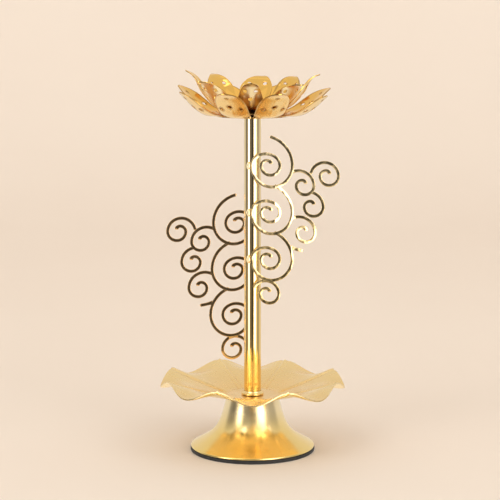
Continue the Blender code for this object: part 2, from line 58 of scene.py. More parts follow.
class Nodes:
    """Short forms for building a material's node tree."""

    def __init__(self, name):
        self.material = bpy.data.materials.new(name)
        self.material.use_nodes = True
        self.tree = self.material.node_tree
        self.shader = self.tree.nodes["Principled BSDF"]
        self.place = self.add("ShaderNodeTexCoord").outputs["Object"]

    def add(self, kind, **settings):
        node = self.tree.nodes.new(kind)
        for key, value in settings.items():
            setattr(node, key, value)
        return node

    def link(self, source, target):
        self.tree.links.new(source, target)

    def noise(self, scale, detail=3.0, stretch=(1, 1, 1), roughness=0.5):
        mapping = self.add("ShaderNodeMapping")
        mapping.inputs["Scale"].default_value = stretch
        self.link(self.place, mapping.inputs["Vector"])
        texture = self.add("ShaderNodeTexNoise")
        texture.inputs["Scale"].default_value = scale
        texture.inputs["Detail"].default_value = detail
        texture.inputs["Roughness"].default_value = roughness
        self.link(mapping.outputs["Vector"], texture.inputs["Vector"])
        return texture.outputs["Fac"]

    def spread(self, source, low_in, high_in, low_out, high_out):
        node = self.add("ShaderNodeMapRange")
        for index, value in enumerate((low_in, high_in, low_out, high_out), start=1):
            node.inputs[index].default_value = value
        self.link(source, node.inputs[0])
        return node.outputs[0]

    def blend(self, factor, first, second, mode="MIX"):
        node = self.add("ShaderNodeMix", data_type="RGBA", blend_type=mode)
        sockets = (node.inputs[0], node.inputs[6], node.inputs[7])
        for value, socket in zip((factor, first, second), sockets):
            if isinstance(value, bpy.types.NodeSocket):
                self.link(value, socket)
            elif isinstance(value, tuple):
                socket.default_value = (*value, 1.0)
            else:
                socket.default_value = value
        return node.outputs[2]

    def math(self, operation, first, second=0.0):
        node = self.add("ShaderNodeMath", operation=operation)
        for value, socket in ((first, node.inputs[0]), (second, node.inputs[1])):
            if isinstance(value, bpy.types.NodeSocket):
                self.link(value, socket)
            else:
                socket.default_value = value
        return node.outputs[0]

    def bump(self, height, strength, distance):
        node = self.add("ShaderNodeBump")
        node.inputs["Strength"].default_value = strength
        node.inputs["Distance"].default_value = distance
        self.link(height, node.inputs["Height"])
        self.link(node.outputs["Normal"], self.shader.inputs["Normal"])

    def height(self):
        node = self.add("ShaderNodeSeparateXYZ")
        self.link(self.place, node.inputs[0])
        return node.outputs["Z"]


def gold(name, high, low, z_low, z_high, roughness, brushed=0.0, grain=1.0, pierced=False):
    """Gold plating with fine wear, its colour shaded with painted light: paler where it is high on the piece
    and deeper gold low down as painted reflection of the gold near it, and lighter on sharp edges as a
    painted highlight.
    A pierced sheet is thinly plated, so its cut edges are brown; it also gets painted shade in its crevices
    and behind its holes.
    """
    made = Nodes(name)
    # Painted light: the colour runs from the low colour up to the high colour with height, a painted
    # reflection.
    level = made.spread(made.height(), z_low, z_high, 0.0, 1.0)
    tint = made.blend(level, low, high)
    cloud = made.noise(70.0, 4.0)
    worn = tuple(value * 0.86 for value in high)
    tint = made.blend(made.spread(cloud, 0.35, 0.7, 0.0, 0.35), tint, worn)
    # Sharp edges: a pierced sheet's cut edges are brown; on other pieces they are drawn lighter, a painted
    # highlight.
    edge = made.spread(made.add("ShaderNodeNewGeometry").outputs["Pointiness"], 0.54, 0.61, 0.0, 0.5)
    tint = made.blend(edge, tint, CUT_EDGE if pierced else (1.0, 0.90, 0.68))
    if pierced:
        # Painted shade: where ambient occlusion finds the sheet hemmed in, in its crevices and behind its
        # holes, its colour is darkened towards brown.
        shade = made.add("ShaderNodeAmbientOcclusion", samples=8)
        shade.inputs["Distance"].default_value = 0.006
        painted_shade = made.spread(shade.outputs["AO"], 0.15, 0.75, 1.0, 0.0)
        tint = made.blend(painted_shade, tint, (0.20, 0.085, 0.022))
    made.link(tint, made.shader.inputs["Base Color"])
    made.shader.inputs["Metallic"].default_value = 1.0
    smudge = made.spread(made.noise(160.0, 5.0), 0.3, 0.7, roughness * 0.75, roughness * 1.35)
    made.link(smudge, made.shader.inputs["Roughness"])
    fine = made.noise(2600.0, 2.0)
    lines = made.noise(900.0, 2.0, stretch=(1.0, 1.0, 0.02 if brushed else 1.0))
    height = made.math("MULTIPLY", fine, 0.5 * grain)
    height = made.math("ADD", height, made.math("MULTIPLY", lines, brushed))
    made.bump(height, 0.12, 0.0002)
    return made.material


def warped_gold(name, high, low):
    """The front panel's plating. Its strips were pulled slightly out of flat when they were soldered:
    the large scrolls bow towards the tube, and the middle arc and the scroll below the outer group
    face a few degrees to the right.
    """
    made = Nodes(name)
    # Painted light: the panel is drawn paler high up and deeper gold low down.
    level = made.spread(made.height(), 0.09, 0.18, 0.0, 1.0)
    made.link(made.blend(level, low, high), made.shader.inputs["Base Color"])
    made.shader.inputs["Metallic"].default_value = 1.0
    made.link(made.spread(made.noise(160.0, 5.0), 0.3, 0.7, 0.12, 0.20), made.shader.inputs["Roughness"])
    axes = made.add("ShaderNodeSeparateXYZ")
    made.link(made.place, axes.inputs[0])
    from_pivot = made.math("SUBTRACT", axes.outputs["X"], WARP_PIVOT)
    inwards = made.math("MINIMUM", from_pivot, 0.0)
    bowed = made.math("MULTIPLY", made.math("MULTIPLY", inwards, inwards), WARP_BOW)
    past_scroll = made.math("MAXIMUM", made.math("SUBTRACT", axes.outputs["X"], ARC_START), 0.0)
    outer_arc = made.math("MINIMUM", past_scroll, ARC_WIDTH)
    middle = made.math("MULTIPLY", made.spread(axes.outputs["Z"], 0.130, 0.138, 0.0, 1.0),
                       made.spread(axes.outputs["Z"], 0.153, 0.170, 1.0, 0.0))
    outwards = made.math("MAXIMUM", from_pivot, 0.0)
    below_group = made.spread(axes.outputs["Z"], 0.133, 0.138, 1.0, 0.0)
    turned = made.math("ADD", made.math("MULTIPLY", outer_arc, middle),
                       made.math("MULTIPLY", outwards, below_group))
    warp = made.math("ADD", bowed, made.math("MULTIPLY", turned, WARP_SLOPE))
    wave = made.math("MULTIPLY", made.noise(110.0, 2.0), 0.0007)
    made.bump(made.math("ADD", warp, wave), 1.0, 1.0)
    return made.material


def steel(name, colour):
    """Zinc-plated hardware with machining marks."""
    made = Nodes(name)
    cloud = made.noise(300.0, 4.0)
    dull = tuple(value * 0.7 for value in colour)
    made.link(made.blend(cloud, colour, dull), made.shader.inputs["Base Color"])
    made.shader.inputs["Metallic"].default_value = 1.0
    made.link(made.spread(cloud, 0.3, 0.7, 0.22, 0.45), made.shader.inputs["Roughness"])
    made.bump(made.noise(3000.0, 2.0, stretch=(1, 1, 0.2)), 0.2, 0.0001)
    return made.material


def rubber(name):
    """Matt black rubber with a fine moulded grain and a little dust."""
    made = Nodes(name)
    dust = made.spread(made.noise(400.0, 6.0), 0.55, 0.8, 0.0, 0.5)
    tint = made.blend(dust, (0.022, 0.021, 0.022), (0.09, 0.085, 0.08))
    made.link(tint, made.shader.inputs["Base Color"])
    made.link(made.spread(made.noise(900.0), 0.3, 0.7, 0.55, 0.8), made.shader.inputs["Roughness"])
    made.bump(made.noise(4000.0, 3.0), 0.4, 0.0002)
    return made.material


# PALE, DEEP, STEM_HIGH and AMBER are top and bottom colours of painted light, the gold drawn paler high up
# and deeper low down.
PALE = (0.93, 0.72, 0.40)
DEEP = (0.90, 0.56, 0.17)
CUT_EDGE = (0.30, 0.16, 0.05)
STEM_HIGH = (0.92, 0.75, 0.46)
AMBER = (1.0, 0.75, 0.27)
# Where the front panel is warped, in metres, and how much.
WARP_PIVOT = 22.5 * MM  # x where its strips stay flat
WARP_BOW = 3.1
WARP_SLOPE = -0.14
ARC_START = 13.0 * MM  # x where the middle scroll's outer arc begins to turn
ARC_WIDTH = 12.0 * MM


# Mesh helpers -------------------------------------------------------------------------------

def object_from(bm, name, look, angle=40.0):
    bmesh.ops.recalc_face_normals(bm, faces=bm.faces[:])
    mesh = bpy.data.meshes.new(name)
    bm.to_mesh(mesh)
    bm.free()
    mesh.shade_smooth()
    mesh.set_sharp_from_angle(angle=radians(angle))
    mesh.materials.append(look)
    piece = bpy.data.objects.new(name, mesh)
    SCENE.collection.objects.link(piece)
    return piece


def rounded(corners, radius, steps=4):
    """A closed outline with its corners rounded; a corner may carry its own radius."""
    outline = []
    count = len(corners)
    for index, corner in enumerate(corners):
        here = Vector(corner[:2])
        own = corner[2] if len(corner) > 2 else radius
        before = Vector(corners[index - 1][:2]) - here
        after = Vector(corners[(index + 1) % count][:2]) - here
        cut = min(own, before.length * 0.45, after.length * 0.45)
        if cut <= 0.0:
            outline.append(here)
            continue
        start = here + before.normalized() * cut
        end = here + after.normalized() * cut
        for step in range(steps + 1):
            share = step / steps
            outline.append(start.lerp(here, share).lerp(here.lerp(end, share), share))
    return outline


def lathe(name, outline, look, steps=128):
    """A closed (radius, height) outline turned about the stem axis."""
    bm = bmesh.new()
    verts = [bm.verts.new((point[0], 0.0, point[1])) for point in outline]
    edges = [bm.edges.new((vert, verts[(index + 1) % len(verts)])) for index, vert in enumerate(verts)]
    bmesh.ops.spin(bm, geom=verts + edges, cent=(0, 0, 0), axis=(0, 0, 1), angle=2 * pi, steps=steps,
                   use_merge=True)
    bmesh.ops.remove_doubles(bm, verts=bm.verts[:], dist=0.000001)
    return object_from(bm, name, look)


def spline(stations, position):
    """Catmull-Rom value of a list of vectors at a fractional index."""
    last = len(stations) - 1
    index = min(int(position), last - 1)
    part = position - index
    here = stations[index]
    there = stations[index + 1]
    before = stations[index - 1] if index > 0 else here * 2 - there
    after = stations[index + 2] if index + 2 <= last else there * 2 - here
    straight = 2 * here + (there - before) * part
    squared = (2 * before - 5 * here + 4 * there - after) * part ** 2
    cubed = (3 * here - before - 3 * there + after) * part ** 3
    return 0.5 * (straight + squared + cubed)


def smooth_step(value):
    value = min(max(value, 0.0), 1.0)
    return value * value * (3.0 - 2.0 * value)


def settle(piece, body, node):
    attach(piece, body)
    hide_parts(node)
    return piece


# Base ---------------------------------------------------------------------------------------

FOOT_RING_WIDTH = 5.2 * MM


def build_foot_ring():
    low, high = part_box("foot_ring")
    inner = high.x - FOOT_RING_WIDTH
    corners = [(high.x, high.z), (high.x, low.z), (inner, low.z), (inner, high.z)]
    ring = lathe("foot_ring_rubber", rounded(corners, 0.45 * MM), rubber("black_rubber"))
    settle(ring, "stand", "foot_ring")


BELL_FLARE = [(15.4, 32.0), (16.5, 28.0), (17.8, 23.2), (19.5, 18.2), (21.8, 13.8), (24.8, 10.5),
              (28.6, 7.8), (32.7, 5.4), (35.6, 3.7)]
SHEET = 0.8 * MM
NUT_HOLE = 2.75 * MM  # radius
ROD_HOLE = 2.8 * MM  # radius


def build_bell():
    low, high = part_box("base_bell")
    stations = [Vector(station) * MM for station in BELL_FLARE]
    count = (len(stations) - 1) * 6
    outer = [spline(stations, index / 6) for index in range(count + 1)]
    inner = []
    for index in range(count, 1, -1):
        along = (outer[min(index + 1, count)] - outer[index - 1]).normalized()
        inner.append(outer[index] + Vector((along.y, -along.x)) * SHEET)
    rolled = [(high.x, low.z + 0.9 * MM), (high.x, low.z), (high.x - 2.0 * MM, low.z)]
    foot = rounded([outer[-1], *rolled, inner[0]], 0.4 * MM)
    crown_z = high.z - SHEET
    crown = [(outer[0].x - SHEET, crown_z), (ROD_HOLE, crown_z), (ROD_HOLE, high.z)]
    shoulder = rounded([(ROD_HOLE, high.z), outer[0], outer[2]], 0.6 * MM)[5:10]
    outline = shoulder + outer[2:-1] + foot[5:-5] + inner + [Vector(point) for point in crown]
    # Painted light: near white at the bell's top for its highlights, deep amber low down as painted
    # reflection.
    look = gold("bell_gold", (1.0, 0.84, 0.52), AMBER, 0.012, 0.026, 0.20, grain=0.3)
    settle(lathe("base_bell_spun", outline, look, steps=160), "stand", "base_bell")


def thread(name, radius, bottom, top, pitch, look, steps=20):
    """A threaded rod: a cylinder whose surface follows one helical ridge, chamfered at its ends."""
    bm = bmesh.new()
    rows = int((top - bottom) / pitch * 6)
    depth = 0.45 * pitch
    previous = None
    for row in range(rows + 1):
        height = bottom + (top - bottom) * row / rows
        from_end = min(height - bottom, top - height)
        ring = []
        for step in range(steps):
            angle = 2 * pi * step / steps
            phase = (height / pitch - step / steps) % 1.0
            ridge = 1.0 - abs(2.0 * phase - 1.0)
            reach = radius - depth * (1.0 - ridge)
            reach = min(reach, radius - 0.7 * MM + from_end)
            ring.append(bm.verts.new((reach * cos(angle), reach * sin(angle), height)))
        if previous:
            for step in range(steps):
                after = (step + 1) % steps
                bm.faces.new((previous[step], previous[after], ring[after], ring[step]))
        else:
            bm.faces.new(list(reversed(ring)))
        previous = ring
    bm.faces.new(previous)
    return object_from(bm, name, look, 30.0)


def nut(name, node, look, body):
    """Hexagon nut with chamfered corners and a countersunk hole."""
    low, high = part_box(node)
    flats = (high.y - low.y) / 2
    corner = flats / cos(radians(30.0))
    sides = 72
    levels = [(0.0, flats * 0.97), (0.10, None), (0.90, None), (1.0, flats * 0.97)]
    bm = bmesh.new()
    rings = []
    for share, limit in levels:
        height = low.z + (high.z - low.z) * share
        ring = []
        for step in range(sides):
            angle = 2 * pi * step / sides
            within = (angle % radians(60.0)) - radians(30.0)
            reach = corner * cos(radians(30.0)) / cos(within)
            if limit is not None:
                reach = min(reach, limit)
            ring.append(bm.verts.new((reach * cos(angle), reach * sin(angle), height)))
        rings.append(ring)
    for share, extra in ((1.0, 0.35 * MM), (0.92, 0.0), (0.08, 0.0), (0.0, 0.35 * MM)):
        height = low.z + (high.z - low.z) * share
        reach = NUT_HOLE + extra
        ring = []
        for step in range(sides):
            angle = 2 * pi * step / sides
            ring.append(bm.verts.new((reach * cos(angle), reach * sin(angle), height)))
        rings.append(ring)
    for index, ring in enumerate(rings):
        following = rings[(index + 1) % len(rings)]
        for step in range(sides):
            after = (step + 1) % sides
            bm.faces.new((ring[step], ring[after], following[after], following[step]))
    return settle(object_from(bm, name, look, 25.0), body, node)


def washer(name, node, look):
    low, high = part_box(node)
    corners = [(high.x, high.z), (high.x, low.z), (ROD_HOLE, low.z), (ROD_HOLE, high.z)]
    return settle(lathe(name, rounded(corners, 0.25 * MM, 3), look, 96), "stand", node)


def spring_washer(look):
    """Split ring of square wire, its two ends a small gap apart."""
    low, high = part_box("base_spring_washer")
    outer = high.x
    corners = [(outer, high.z), (outer, low.z), (ROD_HOLE, low.z), (ROD_HOLE, high.z)]
    section = rounded(corners, 0.2 * MM, 3)
    bm = bmesh.new()
    steps = 72
    open_angle = radians(14.0)
    previous = None
    for step in range(steps + 1):
        angle = pi / 2 + open_angle / 2 + (2 * pi - open_angle) * step / steps
        ring = []
        for point in section:
            ring.append(bm.verts.new((point.x * cos(angle), point.x * sin(angle), point.y)))
        if previous:
            for index in range(len(ring)):
                after = (index + 1) % len(ring)
                bm.faces.new((previous[index], previous[after], ring[after], ring[index]))
        else:
            bm.faces.new(ring)
        previous = ring
    bm.faces.new(list(reversed(previous)))
    settle(object_from(bm, "spring_washer_steel", look), "stand", "base_spring_washer")


def build_hardware():
    zinc = steel("zinc_plate", (0.66, 0.66, 0.64))
    low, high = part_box("tie_rod")
    rod = thread("tie_rod_threaded", high.x, low.z, high.z, 0.8 * MM, zinc)
    settle(rod, "stand", "tie_rod")
    washer("base_washer_steel", "base_washer", zinc)
    spring_washer(zinc)
    nut("base_nut_steel", "base_nut", zinc, "stand")
    washer("petal_spacer_steel", "petal_spacer", zinc)
    # Painted light: paler high up, deeper gold lower down.
    bright = gold("hardware_gold", PALE, DEEP, 0.19, 0.21, 0.2)
    washer("top_washer_gold", "top_washer", bright)
    nut("top_nut_gold", "top_nut", bright, "stand")


# Drip plate ---------------------------------------------------------------------------------

PLATE_FLAT_RADIUS = 17.0 * MM
PLATE_LOBES = 8
VALLEY_RADIUS = 54.6 * MM
PEAK_RADIUS = 52.6 * MM
VEIN_RISE = 10.6 * MM  # height of the rim on a vein above the flat centre
LOBE_RISE = 8.6 * MM  # height that the sheet between two veins climbs to
LOBE_DROOP = 4.4 * MM  # and how far it drops again at the rim
DROOP_START = 0.62
RIM_RAISED_FRONT = 0.85 * MM
RIM_RAISED_LEFT = 0.4 * MM
PLATE_BEND_WIDTH = 6.0 * MM
RIB_HEIGHT = 0.50 * MM
GROOVE_DEPTH = 0.36 * MM  # on both sides of each rib
RING_RADIUS = 15.0 * MM  # the low ring pressed round the flat centre
RING_HEIGHT = 0.22 * MM


def plate_shape():
    """The leaf sheet as a function of (share from hole to rim, angle)."""
    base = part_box("stem_collar")[0].z - GAP - SHEET / 2

    def point(share, angle):
        wave = cos(PLATE_LOBES * (angle - pi / PLATE_LOBES))
        vein_phase = 0.5 + 0.5 * wave
        lobe_phase = 1.0 - vein_phase
        rim = PEAK_RADIUS + (VALLEY_RADIUS - PEAK_RADIUS) * lobe_phase ** 0.8
        radius = ROD_HOLE + share * (rim - ROD_HOLE)
        climb = max(radius - PLATE_FLAT_RADIUS, 0.0) / (rim - PLATE_FLAT_RADIUS)
        vein_height = VEIN_RISE * (0.80 * climb + 0.20 * climb ** 2)
        droop = smooth_step((climb - DROOP_START) / (1.0 - DROOP_START))
        lobe_height = LOBE_RISE * climb ** 0.95 - LOBE_DROOP * droop
        height = vein_height * vein_phase + lobe_height * lobe_phase
        soften = smooth_step((radius - PLATE_FLAT_RADIUS * 0.9) / PLATE_BEND_WIDTH)
        height += climb * (RIM_RAISED_FRONT * (1.0 - sin(angle)) - RIM_RAISED_LEFT * cos(angle))
        height *= soften
        turn = (angle - pi / PLATE_LOBES) % (2 * pi / PLATE_LOBES)
        turn = min(turn, 2 * pi / PLATE_LOBES - turn)
        sideways = turn * radius
        begin = smooth_step((radius - 15.5 * MM) / (2.0 * MM))
        rib = RIB_HEIGHT * smooth_step(1.0 - sideways / (0.9 * MM))
        groove = GROOVE_DEPTH * smooth_step(1.0 - abs(sideways - 1.5 * MM) / (0.8 * MM))
        ring = RING_HEIGHT * smooth_step(1.0 - abs(radius - RING_RADIUS) / (0.8 * MM))
        height += (rib - groove) * begin + ring
        height += 0.18 * MM * sin(3 * angle + 1.0) * climb
        height += 0.12 * MM * sin(5 * angle + radius * 120.0) * climb
        return Vector((radius * cos(angle), radius * sin(angle), base + height))

    return point


def build_plate():
    point = plate_shape()
    around = PLATE_LOBES * 44
    shares = [0.0, 0.06, 0.14, 0.20] + [0.22 + 0.78 * index / 56 for index in range(57)]
    bm = bmesh.new()
    angles = [2 * pi * step / around for step in range(around)]
    rings = [[bm.verts.new(point(share, angle)) for angle in angles] for share in shares]
    for ring, following in zip(rings, rings[1:]):
        for step in range(around):
            after = (step + 1) % around
            bm.faces.new((ring[step], following[step], following[after], ring[after]))
    # Painted light: paler up on the raised rim than in the dish.
    look = gold("plate_gold", (1.0, 0.78, 0.42), (0.98, 0.69, 0.32), 0.034, 0.042, 0.27, grain=0.0)
    plate = object_from(bm, "leaf_plate_pressed", look, 60.0)
    thicken(plate, SHEET, 0.22 * MM)
    settle(plate, "stand", "leaf_plate")


def thicken(piece, wall, edge):
    solidify = piece.modifiers.new("sheet", "SOLIDIFY")
    solidify.thickness = wall
    solidify.offset = 0.0
    bevel = piece.modifiers.new("edge", "BEVEL")
    bevel.width = edge
    bevel.segments = 2
    bevel.limit_method = "ANGLE"
    bevel.angle_limit = radians(60.0)


# Stem ---------------------------------------------------------------------------------------

def build_stem():
    low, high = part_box("stem_tube")
    radius = high.x
    wall = 0.8 * MM
    # Painted reflection: the tube is drawn deeper orange-gold low down, where it sits over the gold plate.
    stem_look = gold("stem_gold", STEM_HIGH, (1.0, 0.68, 0.22), 0.055, 0.140, 0.055, brushed=1.0)
    corners = [(radius, high.z), (radius, low.z), (radius - wall, low.z), (radius - wall, high.z)]
    tube = lathe("stem_tube_polished", rounded(corners, 0.2 * MM, 3), stem_look)
    settle(tube, "stand", "stem_tube")
    low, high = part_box("stem_collar")
    outer = high.x
    corners = [
        (outer - 1.25 * MM, high.z, 0.2 * MM),
        (outer - 0.75 * MM, high.z - 0.9 * MM, 0.3 * MM),
        (outer, high.z - 1.15 * MM, 0.35 * MM),
        (outer, low.z, 0.3 * MM),
        (ROD_HOLE, low.z, 0.0),
        (ROD_HOLE, low.z + 1.0 * MM, 0.0),
        (radius + 0.15 * MM, low.z + 1.0 * MM, 0.0),
        (radius + 0.15 * MM, high.z, 0.1 * MM),
    ]
    # Painted light: a touch paler at its top than at its foot.
    look = gold("collar_gold", (1.0, 0.78, 0.40), (1.0, 0.74, 0.32), 0.033, 0.036, 0.12)
    collar = lathe("stem_collar_stepped", rounded(corners, 0.2 * MM), look)
    settle(collar, "stand", "stem_collar")
    low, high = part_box("stem_top_bush")
    spigot = 3.9 * MM
    step_z = high.z - 0.8 * MM
    corners = [(high.x, high.z), (high.x, step_z), (spigot, step_z), (spigot, low.z), (ROD_HOLE, low.z),
               (ROD_HOLE, high.z)]
    look = steel("bush_steel", (0.66, 0.64, 0.58))
    bush = lathe("stem_top_bush_turned", rounded(corners, 0.12 * MM, 3), look, 96)
    settle(bush, "stand", "stem_top_bush")


# Scroll panels ------------------------------------------------------------------------------

STRIP_WIDTH = 1.9 * MM
SCROLL_PITCH = 27.4 * MM
TOP_SCROLL_Z = 169.7 * MM
LARGE_SCROLL_RIGHT = 23.0 * MM
LARGE_SCROLL_START = -2.0  # degrees, the direction in which its inner end begins
STRIP_EDGE = 0.16 * MM  # rounding of its long edges
STRIP_STEP = 0.004 * MM  # strips differ by this in thickness, so no two share a face
REAR_PANEL_TILT = -1.9  # degrees
# Arcs of a large scroll from its inner end outwards: half width, half height, degrees.
LARGE_ARCS = [(2.45 * MM, 2.1 * MM, 92), (3.35 * MM, 3.0 * MM, 90), (5.4 * MM, 5.6 * MM, 180),
              (8.1 * MM, 6.8 * MM, 180), (11.7 * MM, 12.5 * MM, 180), (17.7 * MM, 17.4 * MM, 75)]
LOWER_SWEEP = 66  # the lower two end sooner, on the scroll above


def scroll_path(right, height, arcs, start_angle):
    """Centre line of a scroll: elliptical arcs of growing size joined end to end, wound
    counter-clockwise. right and height place the scroll's right side, where its last arc begins.
    """
    points = [Vector((0.0, 0.0))]
    angle = start_angle
    for half_width, half_height, sweep in arcs:
        last_start = points[-1]
        centre = last_start - Vector((half_width * cos(angle), half_height * sin(angle)))
        count = max(2, round(sweep / 5.0))
        for step in range(1, count + 1):
            turn = angle + radians(sweep) * step / count
            points.append(centre + Vector((half_width * cos(turn), half_height * sin(turn))))
        angle += radians(sweep)
    shift = Vector((right, height)) - last_start
    return [point + shift for point in points]


def small_arcs(radius, outer_radius, sweep):
    return [(2.2 * MM, 2.2 * MM, 90), (3.35 * MM, 3.35 * MM, 90), (radius, radius, 180),
            (outer_radius, outer_radius, sweep)]


def panel_paths():
    """Every strip of one panel, as centre lines in the panel's own plane."""
    lower_arcs = LARGE_ARCS[:-1] + [(*LARGE_ARCS[-1][:2], LOWER_SWEEP)]
    paths = []
    for index in range(3):
        arcs = LARGE_ARCS if index == 0 else lower_arcs
        height = TOP_SCROLL_Z - index * SCROLL_PITCH
        paths.append(scroll_path(LARGE_SCROLL_RIGHT, height, arcs, radians(LARGE_SCROLL_START)))
    small = [
        (35.5 * MM, 157.8 * MM, small_arcs(5.1 * MM, 8.9 * MM, 124)),
        (41.0 * MM, 145.6 * MM, small_arcs(5.5 * MM, 8.7 * MM, 84)),
        (49.7 * MM, 163.4 * MM, small_arcs(5.3 * MM, 8.1 * MM, 172)),
        (36.3 * MM, 130.3 * MM, small_arcs(5.3 * MM, 9.5 * MM, 124)),
        (15.3 * MM, 94.3 * MM, small_arcs(5.4 * MM, 7.8 * MM, 152)),
    ]
    for right, height, arcs in small:
        paths.append(scroll_path(right, height, arcs, 0.0))
    stub = [Vector(point) * MM for point in ((21.6, 122.0), (26.0, 120.6), (29.6, 119.8))]
    paths.append([spline(stub, index / 8) for index in range(17)])
    return paths


def strip_section(thickness):
    """A flat strip's section with softly rounded edges: (across, through) points."""
    half = STRIP_WIDTH / 2
    deep = thickness / 2
    corners = [(half, deep), (-half, deep), (-half, -deep), (half, -deep)]
    return rounded(corners, STRIP_EDGE, 3)


def add_strip(bm, points, section):
    """Sweeps the section along a centre line and rounds off both ends."""
    distances = [0.0]
    for before, after in zip(points, points[1:]):
        distances.append(distances[-1] + (after - before).length)
    total = distances[-1]
    end = STRIP_WIDTH / 2
    cuts = [end * (1.0 - cos(pi / 2 * step / 5)) for step in range(6)]
    rows = []
    marks = cuts + [distance for distance in distances if end * 1.2 < distance < total - end * 1.2]
    marks += [total - cut for cut in reversed(cuts)]
    last = len(points) - 2
    for mark in marks:
        passed = sum(1 for distance in distances if distance <= mark)
        index = max(0, min(last, passed - 1))
        span = distances[index + 1] - distances[index]
        spot = points[index].lerp(points[index + 1], (mark - distances[index]) / span)
        along = (points[index + 1] - points[index]).normalized()
        side = Vector((-along.y, along.x))
        from_end = min(mark, total - mark)
        inside = min(from_end / end, 1.0)
        narrow = max(sqrt(max(1.0 - (1.0 - inside) ** 2, 0.0)), 0.05)
        swell = 1.0 + 0.30 * smooth_step(1.0 - mark / (3.5 * MM))
        row = []
        for across, through in section:
            place = spot + side * across * narrow * swell
            row.append(bm.verts.new((place.x, through * (0.55 + 0.45 * narrow), place.y)))
        rows.append(row)
    for row, following in zip(rows, rows[1:]):
        for index in range(len(row)):
            after = (index + 1) % len(row)
            bm.faces.new((row[index], row[after], following[after], following[index]))
    bm.faces.new(list(reversed(rows[0])))
    bm.faces.new(rows[-1])


def panel_mesh(thickness, look):
    """All strips of a panel joined into one solid, with its plane through y = 0."""
    strips = []
    for index, path in enumerate(panel_paths()):
        bm = bmesh.new()
        add_strip(bm, path, strip_section(thickness - STRIP_STEP * index))
        strips.append(object_from(bm, f"strip_{index}", look))
    whole = strips[0]
    for strip in strips[1:]:
        union = whole.modifiers.new("join", "BOOLEAN")
        union.operation = "UNION"
        union.object = strip
    graph = bpy.context.evaluated_depsgraph_get()
    mesh = bpy.data.meshes.new_from_object(whole.evaluated_get(graph))
    for strip in strips:
        bpy.data.objects.remove(strip, do_unlink=True)
    mesh.shade_smooth()
    mesh.set_sharp_from_angle(angle=radians(50.0))
    return mesh


def mesh_middle(mesh):
    """The middle of a mesh's own box."""
    spans = [[vertex.co[axis] for vertex in mesh.vertices] for axis in range(3)]
    return Vector([(min(span) + max(span)) / 2 for span in spans])


def build_panels():
    low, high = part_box("scroll_panel_front")
    thickness = high.y - low.y
    bright = warped_gold("panel_gold", (0.96, 0.80, 0.50), (0.96, 0.72, 0.34))
    # Painted shade: the rear panel is the same plating as the front, drawn as a darker copy.
    shaded_panel_gold = gold("rear_panel_gold", (0.84, 0.58, 0.33), (0.88, 0.60, 0.30), 0.06, 0.15, 0.16)
    tilt = Matrix.Rotation(radians(REAR_PANEL_TILT), 4, "Y")
    for name, node, look, turn in (
        ("scroll_front_strips", "scroll_panel_front", bright, Matrix()),
        ("scroll_rear_strips", "scroll_panel_rear", shaded_panel_gold, Matrix.Rotation(pi, 4, "Z") @ tilt),
    ):
        mesh = panel_mesh(thickness, look)
        mesh.transform(turn)
        low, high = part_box(node)
        middle = mesh_middle(mesh)
        mesh.transform(Matrix.Translation((low + high) / 2 - middle))
        panel = bpy.data.objects.new(name, mesh)
        SCENE.collection.objects.link(panel)
        settle(panel, "stand", node)


def build_solder():
    """Melted beads that run between the tube and the edge of each large scroll."""
    # Painted light: paler on the higher beads, deeper gold on the lower.
    look = gold("solder_gold", (1.0, 0.86, 0.58), (1.0, 0.74, 0.36), 0.06, 0.16, 0.16, grain=2.0)
    for side, sign in (("front", 1), ("rear", -1)):
        for index, place in enumerate(("upper", "middle", "lower")):
            node = f"solder_{side}_{place}"
            low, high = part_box(node)
            centre = (low + high) / 2
            size = (high - low) / 2
            bm = bmesh.new()
            bmesh.ops.create_icosphere(bm, subdivisions=4, radius=1.0)
            for vertex in bm.verts:
                spot = vertex.co.copy()
                lump = 1.0 + 0.10 * sin(3.1 * spot.z + index) * cos(2.3 * spot.x + 1.7 * index)
                swollen = Vector((spot.x * 1.25 * lump, spot.y * 1.05, spot.z * lump))
                vertex.co = swollen * size + centre
            bmesh.ops.translate(bm, verts=bm.verts[:], vec=(0.25 * MM * sign, 0.12 * MM * sign, 0.0))
            settle(object_from(bm, f"{node}_bead", look, 80.0), "stand", node)


# Lotus --------------------------------------------------------------------------------------

PETALS = 8
PETAL_SHEET = 0.6 * MM
PETAL_CUP = 0.10  # how far a petal's edges curl in, as a share of its half width
CREASE_HEIGHT = 0.22 * MM
CREASE_WIDTH = 1.1 * MM
FLOOR_DISH_WIDTH = 4.0 * MM  # the sheet starts to rise this far inside the floor's edge
OUTER_STATIONS = [(23.0, 0.4, 8.2), (26.6, 1.6, 9.3), (30.3, 4.4, 9.8), (33.8, 7.9, 9.7), (37.2, 11.1, 8.4),
                  (40.6, 13.3, 6.0), (43.8, 14.3, 3.4), (46.8, 14.6, 0.9)]
INNER_STATIONS = [(17.5, 0.6, 5.8), (22.5, 3.6, 8.0), (26.8, 7.6, 9.4), (29.9, 11.2, 9.8), (31.8, 14.2, 8.6),
                  (33.6, 16.8, 6.4), (36.0, 18.2, 3.6), (39.0, 18.5, 0.8)]
